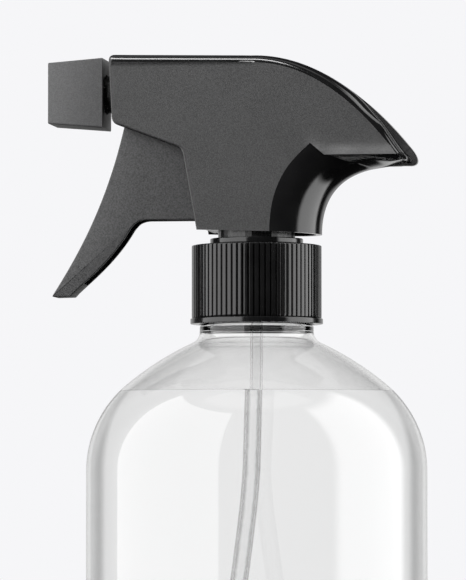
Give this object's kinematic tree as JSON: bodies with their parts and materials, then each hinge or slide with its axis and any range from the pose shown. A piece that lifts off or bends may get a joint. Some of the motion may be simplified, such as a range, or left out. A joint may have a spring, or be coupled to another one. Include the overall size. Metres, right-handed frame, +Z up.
{
  "type": "trigger spray bottle",
  "caption": "Clear round-shoulder bottle with a ribbed screw closure and a black trigger sprayer head with a square nozzle cap and a curved dip tube.",
  "frame": {"origin": "centre of the bottle's flat underside, on the bottle's axis", "axes": "+Z up along the bottle's axis, -X the way the nozzle sprays, +X towards the head's tail"},
  "size_m": [0.0945, 0.0852, 0.2291],
  "materials": {
    "clear_bottle": "clear glossy moulded plastic",
    "translucent_tube": "translucent extruded plastic",
    "head_black": "fine matte texture with glossy edges",
    "trigger_black": "spark-eroded matte texture",
    "closure_black": "satin ribbed plastic",
    "body_black": "satin moulded plastic",
    "white_moulding": "white moulded plastic",
    "seal_rubber": "soft seal",
    "spring_steel": "drawn stainless wire and polished ball"
  },
  "bodies": {
    "bottle": {"bottle": "clear_bottle"},
    "head": {"pump_body": "body_black", "retaining_ring": "closure_black", "neck_gasket": "seal_rubber", "tube_retainer": "white_moulding", "dip_tube": "translucent_tube", "shroud": "head_black", "swirl_insert": "white_moulding", "nozzle_seal": "seal_rubber", "return_spring": "spring_steel", "outlet_spring": "spring_steel"},
    "closure": {"closure": "closure_black"},
    "trigger": {"trigger": "trigger_black"},
    "piston": {"piston": "white_moulding", "piston_seal": "seal_rubber", "vent_seal": "seal_rubber"},
    "inlet_ball": {"inlet_ball": "spring_steel"},
    "outlet_valve": {"outlet_valve": "white_moulding"},
    "nozzle": {"nozzle_cap": "head_black", "orifice_cup": "white_moulding"}
  },
  "joints": [
    {"name": "head_lift", "type": "slide", "parent": "bottle", "child": "head", "axis": [0, 0, 1], "range_m": [0, 0.00635]},
    {"name": "closure_turn", "type": "hinge", "parent": "head", "child": "closure", "pos_m": [0, 0, 0.162], "axis": [0, 0, 1], "range_deg": [0, 540]},
    {"name": "trigger_pull", "type": "hinge", "parent": "head", "child": "trigger", "pos_m": [-0.027, 0, 0.22], "axis": [0, -1, 0], "range_deg": [0, 20]},
    {"name": "piston_stroke", "type": "slide", "parent": "head", "child": "piston", "axis": [1, 0, 0], "range_m": [0, 0.0037], "stiffness_N_per_m": 6000, "springref_m": -0.0012, "deforming": ["return_spring"]},
    {"name": "inlet_ball_lift", "type": "slide", "parent": "head", "child": "inlet_ball", "axis": [0, 0, 1], "range_m": [0, 0.0012]},
    {"name": "outlet_valve_open", "type": "slide", "parent": "head", "child": "outlet_valve", "axis": [-1, 0, 0], "range_m": [0, 0.0008], "stiffness_N_per_m": 300, "springref_m": -0.0015, "deforming": ["outlet_spring"]},
    {"name": "nozzle_turn", "type": "hinge", "parent": "head", "child": "nozzle", "pos_m": [-0.038, 0, 0.22], "axis": [1, 0, 0], "continuous": true}
  ],
  "couplings": [
    {"joint": "closure_turn", "follows": "head_lift", "rad_per_m": 1484.2},
    {"joint": "trigger_pull", "follows": "piston_stroke", "rad_per_m": 94.34}
  ]
}
